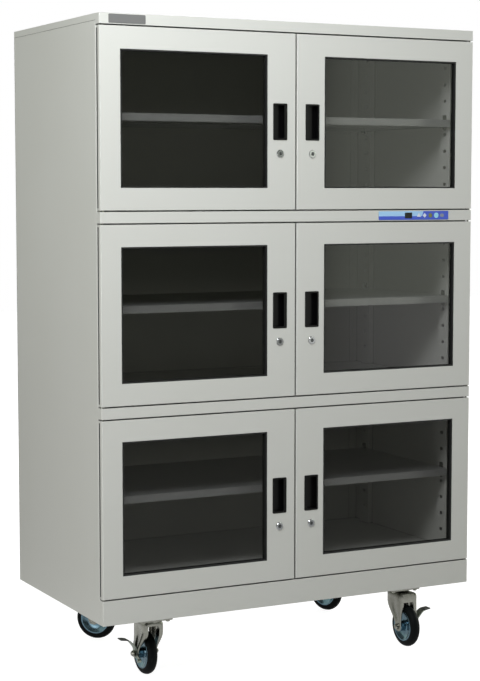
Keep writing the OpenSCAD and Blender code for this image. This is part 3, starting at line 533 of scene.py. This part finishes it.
# Half of the hub's outline, from its bore to its rim, as (radius, distance from the middle).
HUB_FACE_MM = [
    (5.05, 26.7), (13, 26.7), (15, 24.7), (15, 8), (17, 6), (24, 6), (32, 8), (38, 11.5), (42, 14.4),
    (45.4, 14.4), (46, 13.8)]

hub_steel, tree = blank_material("blue_passivated_zinc")
coords = add(tree, "ShaderNodeTexCoord", {})
haze = add(tree, "ShaderNodeTexNoise", {
    "Vector": coords.outputs["Object"], "Scale": 1 / (MOTTLE_MM * MM), "Detail": 3.0})
tone = add(tree, "ShaderNodeMix", {
    "data_type": "RGBA", 0: haze.outputs["Fac"], 6: linear("#46606C"), 7: linear("#7D98A5")})
surface = add(tree, "ShaderNodeBsdfPrincipled", {
    "Base Color": tone.outputs[2], "Metallic": 1.0, "Roughness": 0.24})
add(tree, "ShaderNodeOutputMaterial", {"Surface": surface.outputs[0]})

rubber, tree = blank_material("moulded_tyre_rubber")
coords = add(tree, "ShaderNodeTexCoord", {})
scuff = add(tree, "ShaderNodeTexNoise", {
    "Vector": coords.outputs["Object"], "Scale": 1 / (SCUFF_MM * MM), "Detail": 5.0, "Roughness": 0.65})
tone = add(tree, "ShaderNodeMix", {
    "data_type": "RGBA", 0: scuff.outputs["Fac"], 6: linear("#050707"), 7: linear("#0F1313")})
gloss = add(tree, "ShaderNodeMapRange", {"Value": scuff.outputs["Fac"], "To Min": 0.45, "To Max": 0.7})
pores = add(tree, "ShaderNodeBump", {
    "Height": scuff.outputs["Fac"], "Distance": SCUFF_DEEP_MM * MM, "Strength": 0.4})
surface = add(tree, "ShaderNodeBsdfPrincipled", {
    "Base Color": tone.outputs[2], "Roughness": gloss.outputs["Result"], "IOR": 1.5,
    "Specular IOR Level": 0.08, "Normal": pores.outputs[0]})
add(tree, "ShaderNodeOutputMaterial", {"Surface": surface.outputs[0]})


def finished_piece(name, made, material, crease=None):
    """Puts a bmesh with its material into the scene, smooth up to the crease angle, or flat without one."""
    bmesh.ops.recalc_face_normals(made, faces=made.faces)
    mesh = bpy.data.meshes.new(name)
    made.to_mesh(mesh)
    made.free()
    mesh.materials.append(material)
    if crease is not None:
        mesh.shade_smooth()
        mesh.set_sharp_from_angle(angle=math.radians(crease))
    piece = bpy.data.objects.new(name, mesh)
    scene.collection.objects.link(piece)
    return piece


def lathe(name, outline, centre, axis, material):
    """Turns an outline of (radius, place along the axis) into a closed ring about the axis."""
    made = bmesh.new()
    across = axis.orthogonal().normalized()
    up = axis.cross(across)
    rings = []
    for step in range(LATHE_STEPS):
        turn = 2 * math.pi * step / LATHE_STEPS
        out = math.cos(turn) * across + math.sin(turn) * up
        rings.append([made.verts.new(centre + r * out + a * axis) for r, a in outline])
    for i, ring in enumerate(rings):
        after = rings[(i + 1) % LATHE_STEPS]
        for j in range(len(outline)):
            k = (j + 1) % len(outline)
            made.faces.new((ring[j], ring[k], after[k], after[j]))
    return finished_piece(name, made, material, LATHE_CREASE)


def arc(centre_r, centre_a, radius, start, end, steps):
    """Points of an arc in (radius, place along the axis), from start to end in degrees."""
    turns = [math.radians(start + (end - start) * i / steps) for i in range(steps + 1)]
    return [(centre_r + radius * math.cos(t), centre_a + radius * math.sin(t)) for t in turns]


spin = {joint["child"]: joint for joint in frame["joints"]}
hub_face = [(r * MM, a * MM) for r, a in HUB_FACE_MM]
hub_outline = hub_face + [(r, -a) for r, a in reversed(hub_face)]
for caster in CASTERS:
    wheel = f"wheel_{caster}"
    centre = Vector(spin[wheel]["pos_m"])
    axis = Vector(spin[wheel]["axis"]).normalized()
    low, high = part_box(wheel)
    wheel_r = (high.z - low.z) / 2
    half = TYRE_W / 2
    shoulder_r = wheel_r - SEAM_PROUD - SHOULDER_R
    shoulder_a = half - SHOULDER_R
    wide, narrow = SHOULDER_TURNS
    tyre_outline = (
        [(BEAD_R, -half + BEAD_EASE[1]), (BEAD_R + BEAD_EASE[0], -half)]
        + arc(shoulder_r, -shoulder_a, SHOULDER_R, -wide, -narrow, SHOULDER_STEPS)
        + [(wheel_r, -SEAM_HALF), (wheel_r, SEAM_HALF)]
        + arc(shoulder_r, shoulder_a, SHOULDER_R, narrow, wide, SHOULDER_STEPS)
        + [(BEAD_R + BEAD_EASE[0], half), (BEAD_R, half - BEAD_EASE[1])])
    tyre = lathe(f"tyre_{caster}", tyre_outline, centre, axis, rubber)
    hub = lathe(f"hub_{caster}", hub_outline, centre, axis, hub_steel)
    for piece in (tyre, hub):
        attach(piece, wheel)
    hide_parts(wheel)


# Caster forks
# Each fork is one pressed sheet of zinc plated steel: a crown with rolled corners, and two tapering legs,
# each with a groove and a folded rim. The axle bolt runs through the legs, with a domed nut at each end.
FORK_HALF = 28.5 * MM
FORK_SHEET = 3 * MM
CROWN_Z = 162.2 * MM
CROWN_FLAT = 8 * MM
CORNER_R = 8 * MM
CORNER_STEPS = 5
LEG_R = 14 * MM
LEG_FRONT = -18.5 * MM
LEG_BACK = 55.5 * MM
LEG_STEPS = 12
FOOT_SHARES = (-0.96, -0.8, -0.5, 0)
TAPER_BELOW_BEND = 20 * MM
RIM_W = 11 * MM
RIM_LEAST = 0.08
RIM_FULL_AT = 70 * MM
RIM_ROLL = 0.8 * MM
RIM_SHARES = (0.1, 0.35)
RIM_BEND = 3 * MM
BACK_DEEPER = 1.4
GROOVE = 2 * MM
GROOVE_ABOVE_AXLE = 18 * MM
GROOVE_BELOW_BEND = 12 * MM
GROOVE_SHARES = (0.35, 0.42, 0.58, 0.65)
PRESS_CREASE = 40
PIN_HOLE_COLUMN = 3
BOLT_R = 5 * MM
BOLT_END = 36 * MM
BOLT_END_AT_LEVER = 39.6 * MM
NUT_R = 8.5 * MM
NUT_H = 6 * MM
DOME = 4 * MM
TIP_R = 0.2 * MM


def ease(t):
    """Goes smoothly from 0 to 1."""
    t = min(1, max(0, t))
    return t * t * (3 - 2 * t)


def pressed(name, grid, thick, material, placed, skip=()):
    """A closed sheet of even thickness on a grid of local points, which placed turns into the frame."""
    rows, cols = len(grid), len(grid[0])
    grid = [[Vector(p) for p in row] for row in grid]
    made = bmesh.new()
    layers = ([], [])
    for i in range(rows):
        for layer in layers:
            layer.append([])
        for j in range(cols):
            along = grid[min(i + 1, rows - 1)][j] - grid[max(i - 1, 0)][j]
            over = grid[i][min(j + 1, cols - 1)] - grid[i][max(j - 1, 0)]
            out = along.cross(over).normalized() * thick / 2
            for layer, sign in zip(layers, (1, -1)):
                layer[i].append(made.verts.new(placed(grid[i][j] + sign * out)))
    cells = {(i, j) for i in range(rows - 1) for j in range(cols - 1)} - set(skip)
    top, low = layers
    for i, j in cells:
        made.faces.new((top[i][j], top[i + 1][j], top[i + 1][j + 1], top[i][j + 1]))
        made.faces.new((low[i][j], low[i][j + 1], low[i + 1][j + 1], low[i + 1][j]))
        sides = (((i - 1, j), (i, j), (i, j + 1)), ((i + 1, j), (i + 1, j), (i + 1, j + 1)),
                 ((i, j - 1), (i, j), (i + 1, j)), ((i, j + 1), (i, j + 1), (i + 1, j + 1)))
        for neighbour, a, b in sides:
            if neighbour not in cells:
                made.faces.new((top[a[0]][a[1]], top[b[0]][b[1]], low[b[0]][b[1]], low[a[0]][a[1]]))
    loose = [v for v in made.verts if not v.link_faces]
    bmesh.ops.delete(made, geom=loose, context="VERTS")
    return finished_piece(name, made, material, PRESS_CREASE)


def caster_frame(caster):
    """Level axis across a caster, its trail, its axle height, and two functions that place local points."""
    swivel = Vector(spin[f"fork_{caster}"]["pos_m"])
    wheel_joint = spin[f"wheel_{caster}"]
    centre = Vector(wheel_joint["pos_m"])
    across = Vector(wheel_joint["axis"]).normalized()
    reach = Vector((centre.x - swivel.x, centre.y - swivel.y, 0))
    origin = Vector((swivel.x, swivel.y, 0))
    back = reach.normalized()
    trail = reach.length

    def from_floor(p):
        """Place in the frame of a point measured from under the swivel, on the floor."""
        return origin + p.x * across + p.y * back + Vector((0, 0, p.z))

    def from_axle(p):
        """Place in the frame of a point measured from the middle of the axle."""
        return origin + p.x * across + (trail + p.y) * back + Vector((0, 0, centre.z + p.z))

    return across, trail, centre.z, from_floor, from_axle


def fork_grid(trail, axle_z):
    """Rows of the fork's sheet from the foot of one leg over the crown to the foot of the other."""
    bend_z = CROWN_Z - CORNER_R
    path = []
    for share in FOOT_SHARES:
        path.append((-FORK_HALF, axle_z + share * LEG_R, 1, 0))
    for i in range(1, LEG_STEPS + 1):
        path.append((-FORK_HALF, axle_z + (bend_z - axle_z) * i / LEG_STEPS, 1, 0))
    for i in range(1, CORNER_STEPS + 1):
        turn = math.pi / 2 * i / CORNER_STEPS
        path.append((
            -FORK_HALF + CORNER_R - CORNER_R * math.cos(turn), bend_z + CORNER_R * math.sin(turn),
            math.cos(turn), -math.sin(turn)))
    path.append((-CROWN_FLAT, CROWN_Z, 0, -1))
    path += [(-x, z, -nx, nz) for x, z, nx, nz in reversed(path)]
    slight, strong = RIM_SHARES
    rows = []
    for x, z, nx, nz in path:
        if z < axle_z:
            half = math.sqrt(LEG_R ** 2 - (z - axle_z) ** 2)
            y0, y1 = trail - half, trail + half
        else:
            rise = ease((z - axle_z) / (bend_z - TAPER_BELOW_BEND - axle_z))
            y0 = trail - LEG_R + (LEG_FRONT - trail + LEG_R) * rise
            y1 = trail + LEG_R + (LEG_BACK - trail - LEG_R) * rise
        rim = RIM_W * max(RIM_LEAST, ease((z - axle_z) / RIM_FULL_AT))
        back_rim = rim * (1 + BACK_DEEPER * abs(nz))
        in_groove = axle_z + GROOVE_ABOVE_AXLE < z < bend_z - GROOVE_BELOW_BEND
        depths = (0, GROOVE, GROOVE, 0) if in_groove else (0, 0, 0, 0)
        groove = [(y0 + share * (y1 - y0), deep) for share, deep in zip(GROOVE_SHARES, depths)]
        section = (
            [(y0 + RIM_ROLL, rim), (y0, strong * rim), (y0 + RIM_ROLL, slight * rim), (y0 + RIM_BEND, 0)]
            + groove
            + [(y1 - RIM_BEND, 0), (y1 - RIM_ROLL, slight * rim), (y1, strong * back_rim),
               (y1 - RIM_ROLL, back_rim)])
        rows.append([(x + nx * deep, y, z + nz * deep) for y, deep in section])
    return rows


for caster in CASTERS:
    fork = f"fork_{caster}"
    across, trail, axle_z, from_floor, _ = caster_frame(caster)
    grid = fork_grid(trail, axle_z)
    crown_row = len(grid) // 2 - 1
    shell = pressed(
        f"pressed_{fork}", grid, FORK_SHEET, zinc, from_floor, skip=[(crown_row, PIN_HOLE_COLUMN)])
    braked = caster.startswith("front")
    lever_end = BOLT_END_AT_LEVER if braked else BOLT_END
    bolt = lathe(f"axle_bolt_{caster}", [
        (TIP_R, -lever_end - DOME), (BOLT_R, -lever_end - DOME), (NUT_R, -lever_end),
        (NUT_R, NUT_H - lever_end), (BOLT_R, NUT_H - lever_end), (BOLT_R, BOLT_END - NUT_H),
        (NUT_R, BOLT_END - NUT_H), (NUT_R, BOLT_END), (BOLT_R, BOLT_END + DOME), (TIP_R, BOLT_END + DOME)],
        from_floor(Vector((0, trail, axle_z))), across, zinc)
    for piece in (shell, bolt):
        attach(piece, fork)
    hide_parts(fork)


# Brake levers
# Each lever is a bent strip of thicker steel on the axle, with a foot tab over the wheel and a curled tail.
# Its zinc has gone a dull greenish grey, and the tab is dipped in black where a shoe presses on it.
# In mm from the axle, the arm and tab go by (out, up, half width), and the tail by (back, up, half width).
LEVER_X = -31.8 * MM
LEVER_T = 3 * MM
ARM_MM = [(0, 7, 11), (0, 13, 13), (5, 22, 13.5), (14, 33, 14), (20, 39, 14), (25, 42, 14)]
TAB_MM = [(25, 42, 14), (32, 44, 14), (48, 46, 13)]
TAIL_MM = [(-8, -3, 7), (-20, -8, 6), (-32, -12, 6), (-38, -13, 5)]
EYE_R = 14 * MM
EYE_BORE_R = 5.1 * MM
CURL_R = 5 * MM
CURL_ENDS = (-9 * MM, 1 * MM)
CURL_PLACE = (LEVER_X, -38 * MM, -13 * MM)

dull_zinc, tree = blank_material("dull_lever_zinc")
coords = add(tree, "ShaderNodeTexCoord", {})
dull = add(tree, "ShaderNodeTexNoise", {
    "Vector": coords.outputs["Object"], "Scale": 1 / (MOTTLE_MM * MM), "Detail": 4.0})
tone = add(tree, "ShaderNodeMix", {
    "data_type": "RGBA", 0: dull.outputs["Fac"], 6: linear("#7D857B"), 7: linear("#A3AAA0")})
surface = add(tree, "ShaderNodeBsdfPrincipled", {
    "Base Color": tone.outputs[2], "Metallic": 1.0, "Roughness": 0.36})
add(tree, "ShaderNodeOutputMaterial", {"Surface": surface.outputs[0]})

dipped, tree = blank_material("black_dipped_tab")
surface = add(tree, "ShaderNodeBsdfPrincipled", {"Base Color": linear("#2A2C2A"), "Roughness": 0.5})
add(tree, "ShaderNodeOutputMaterial", {"Surface": surface.outputs[0]})


def bent_strip(points):
    """Grid of a strip that is bent outwards, with its width along the caster."""
    return [
        [(LEVER_X - out * MM, -half * MM, z * MM), (LEVER_X - out * MM, half * MM, z * MM)]
        for out, z, half in points]


def flat_strip(points):
    """Grid of a strip that runs back in the lever's own plane, with its width upright."""
    return [
        [(LEVER_X, y * MM, (z - half) * MM), (LEVER_X, y * MM, (z + half) * MM)]
        for y, z, half in points]


for side in SIDES:
    lever = f"brake_lever_{side}"
    across, _, _, _, from_axle = caster_frame(f"front_{side}")
    arm = pressed(f"arm_{lever}", bent_strip(ARM_MM), LEVER_T, dull_zinc, from_axle)
    tab = pressed(f"tab_{lever}", bent_strip(TAB_MM), LEVER_T, dipped, from_axle)
    tail = pressed(f"tail_{lever}", flat_strip(TAIL_MM), LEVER_T, dull_zinc, from_axle)
    eye_ring = lathe(f"eye_{lever}", [
        (EYE_BORE_R, -LEVER_T / 2), (EYE_R, -LEVER_T / 2), (EYE_R, LEVER_T / 2), (EYE_BORE_R, LEVER_T / 2)],
        from_axle(Vector((LEVER_X, 0, 0))), across, dull_zinc)
    curl = lathe(f"curl_{lever}", [
        (TIP_R, CURL_ENDS[0]), (CURL_R, CURL_ENDS[0]), (CURL_R, CURL_ENDS[1]), (TIP_R, CURL_ENDS[1])],
        from_axle(Vector(CURL_PLACE)), across, dull_zinc)
    for piece in (arm, tab, tail, eye_ring, curl):
        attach(piece, lever)
    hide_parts(lever)


# Name plate
# A bare plate of anodised aluminium is stuck on the header at its left end.
# It is stamped from thin sheet with small round corners, and has an even satin grey.
PLATE_X = (-573 * MM, -465 * MM)
PLATE_H = 24 * MM
PLATE_TOP = 2.5 * MM
PLATE_CORNER = 3 * MM
PLATE_PROUD = 0.8 * MM
PLATE_SUNK = 0.2 * MM


def slab(name, outline, y0, y1, material, rides_on):
    """A closed prism on an outline of (x, z) points, between two places along Y."""
    made = bmesh.new()
    front = [made.verts.new((x, y0, z)) for x, z in outline]
    back = [made.verts.new((x, y1, z)) for x, z in outline]
    made.faces.new(front)
    made.faces.new(list(reversed(back)))
    for i in range(len(outline)):
        j = (i + 1) % len(outline)
        made.faces.new((front[i], back[i], back[j], front[j]))
    piece = finished_piece(name, made, material)
    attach(piece, rides_on)
    return piece


def rounded(x0, x1, z0, z1, radius, steps=6):
    """Outline of a rectangle with round corners."""
    corners = ((x1 - radius, z1 - radius, 0), (x0 + radius, z1 - radius, 90),
               (x0 + radius, z0 + radius, 180), (x1 - radius, z0 + radius, 270))
    points = []
    for x, z, start in corners:
        turns = [math.radians(start + 90 * i / steps) for i in range(steps + 1)]
        points += [(x + radius * math.cos(t), z + radius * math.sin(t)) for t in turns]
    return points


def plain_material(name, code, metallic, roughness, grain_mm):
    """An even coat whose roughness varies a little over a grain of the given size."""
    material, tree = blank_material(name)
    coords = add(tree, "ShaderNodeTexCoord", {})
    grain = add(tree, "ShaderNodeTexNoise", {
        "Vector": coords.outputs["Object"], "Scale": 1 / (grain_mm * MM), "Detail": 3.0})
    gloss = add(tree, "ShaderNodeMapRange", {
        "Value": grain.outputs["Fac"], "To Min": roughness * 0.8, "To Max": roughness * 1.2})
    surface = add(tree, "ShaderNodeBsdfPrincipled", {
        "Base Color": linear(code), "Metallic": metallic, "Roughness": gloss.outputs["Result"],
        "Specular IOR Level": 0.2})
    add(tree, "ShaderNodeOutputMaterial", {"Surface": surface.outputs[0]})
    return material


header_low, header_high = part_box("front_header")
plate_z = header_high.z - PLATE_TOP
anodised = plain_material("anodised_grey_aluminium", "#737371", 0.0, 0.42, 3)
name_plate = slab(
    "name_plate", rounded(*PLATE_X, plate_z - PLATE_H, plate_z, PLATE_CORNER),
    header_low.y - PLATE_PROUD, header_low.y + PLATE_SUNK, anodised, "carcass")


# Keypad signs
# The film has a black display window and, to its right, printed signs for five keys.
# Each sign is a patch of screen ink in a plain shape, a little raised and duller than the film.
WINDOW_X = (364 * MM, 389 * MM)
WINDOW_HALF = 8.5 * MM
WINDOW_CORNER = 1 * MM
SIGN_PROUD = 0.15 * MM
SIGN_SUNK = 0.1 * MM


def oval(x, z, half_x, half_z, steps=24):
    """Outline of an oval."""
    turns = [2 * math.pi * i / steps for i in range(steps)]
    return [(x + half_x * math.cos(t), z + half_z * math.sin(t)) for t in turns]


def pointed(x, z, radius, corners):
    """Outline of an even polygon that stands with one corner up."""
    turns = [math.radians(90) + 2 * math.pi * i / corners for i in range(corners)]
    return [(x + radius * math.cos(t), z + radius * math.sin(t)) for t in turns]


ink_black = plain_material("ink_black_window", "#06080C", 0.0, 0.15, 4)
ink_white = plain_material("ink_white", "#D8DEE6", 0.0, 0.4, 2)
ink_olive = plain_material("ink_olive", "#7C8050", 0.0, 0.4, 2)
ink_cyan = plain_material("ink_light_cyan", "#9FD8EC", 0.0, 0.35, 2)
ink_grey = plain_material("ink_grey", "#8D93A0", 0.0, 0.4, 2)
SIGNS = [
    ("display_window",
     rounded(*WINDOW_X, film_mid_z - WINDOW_HALF, film_mid_z + WINDOW_HALF, WINDOW_CORNER), ink_black),
    ("up_sign", pointed(413 * MM, film_mid_z, 8 * MM, 3), ink_white),
    ("set_sign", pointed(433 * MM, film_mid_z, 7 * MM, 4), ink_white),
    ("lamp_sign", oval(453 * MM, film_mid_z, 6.5 * MM, 6.5 * MM), ink_olive),
    ("power_sign", oval(474 * MM, film_mid_z, 8 * MM, 8 * MM), ink_cyan),
    ("mode_sign", oval(494 * MM, film_mid_z, 7.5 * MM, 5 * MM), ink_grey)]
for name, outline, ink in SIGNS:
    sign = slab(name, outline, film_low.y - SIGN_PROUD, film_low.y + SIGN_SUNK, ink, "carcass")


# Lock plugs
# Each lock shows the turned steel end of its plug, pressed into the chromium rim of the barrel.
# An upright keyhole shows as a black slot: a thin black patch on the plug, painted shade of the hole.
PLUG_R = 5.5 * MM
PLUG_PROUD = 0.05 * MM
KEY_W = 1.6 * MM
KEY_H = 7.5 * MM
KEY_PROUD = 0.1 * MM
KEY_CORNER = KEY_W / 2 * 0.9
PLUG_SUNK = 0.3 * MM

keyhole_shade = plain_material("keyhole_shadow", "#050505", 0.0, 0.7, 2)
plug_steel = plain_material("plug_steel", "#6E7072", 1.0, 0.3, 1)
for door in DOORS:
    lock = f"lock_{door}"
    face_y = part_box(lock)[0].y
    x, _, z = spin[lock]["pos_m"]
    plug = slab(
        f"plug_{door}", oval(x, z, PLUG_R, PLUG_R),
        face_y - PLUG_PROUD, face_y + PLUG_SUNK, plug_steel, lock)
    hole = slab(
        f"keyhole_{door}", rounded(x - KEY_W / 2, x + KEY_W / 2, z - KEY_H / 2, z + KEY_H / 2, KEY_CORNER),
        face_y - KEY_PROUD, face_y + PLUG_SUNK, keyhole_shade, lock)


# Door edge shade
# A thin sheet in the gaskets' black rubber material runs up the outer edge of each door, almost flush, a
# little behind its face.
# It is painted shade along the door's outer edge, which shows as a thin dark line.
STRIP_PROUD = 0.05 * MM
STRIP_CORNER = STRIP_PROUD * 0.9
STRIP_SHORT = 6 * MM
STRIP_BEHIND = (13 * MM, 20 * MM)

for door in DOORS:
    leaf = f"door_{door}"
    leaf_low, leaf_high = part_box(leaf)
    edge_x = leaf_low.x if door.endswith("left") else leaf_high.x
    strip = slab(
        f"edge_shade_strip_{door}",
        rounded(edge_x - STRIP_PROUD, edge_x + STRIP_PROUD, leaf_low.z + STRIP_SHORT,
                leaf_high.z - STRIP_SHORT, STRIP_CORNER),
        leaf_low.y + STRIP_BEHIND[0], leaf_low.y + STRIP_BEHIND[1], epdm, leaf)


# Screws at the back
# The back panel is held by zinc plated pan head screws down both of its sides.
# Each shows as a round head that stands a little proud of the sheet.
SCREW_R = 3.6 * MM
SCREW_H = 1.6 * MM
SCREW_SUNK = 0.2 * MM
SCREW_ROWS = 7
SCREW_INSET = 9 * MM
SCREW_END_SHARE = 0.04

back_low, back_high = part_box("back_panel")
screw_places = []
for side in (-1, 1):
    for i in range(SCREW_ROWS):
        share = SCREW_END_SHARE + (1 - 2 * SCREW_END_SHARE) * i / (SCREW_ROWS - 1)
        screw_places.append((
            side * (back_high.x - SCREW_INSET), back_low.z + share * (back_high.z - back_low.z)))
for i, (x, z) in enumerate(screw_places):
    screw = slab(
        f"back_screw_{i}", oval(x, z, SCREW_R, SCREW_R), back_high.y - SCREW_SUNK, back_high.y + SCREW_H,
        zinc, "carcass")
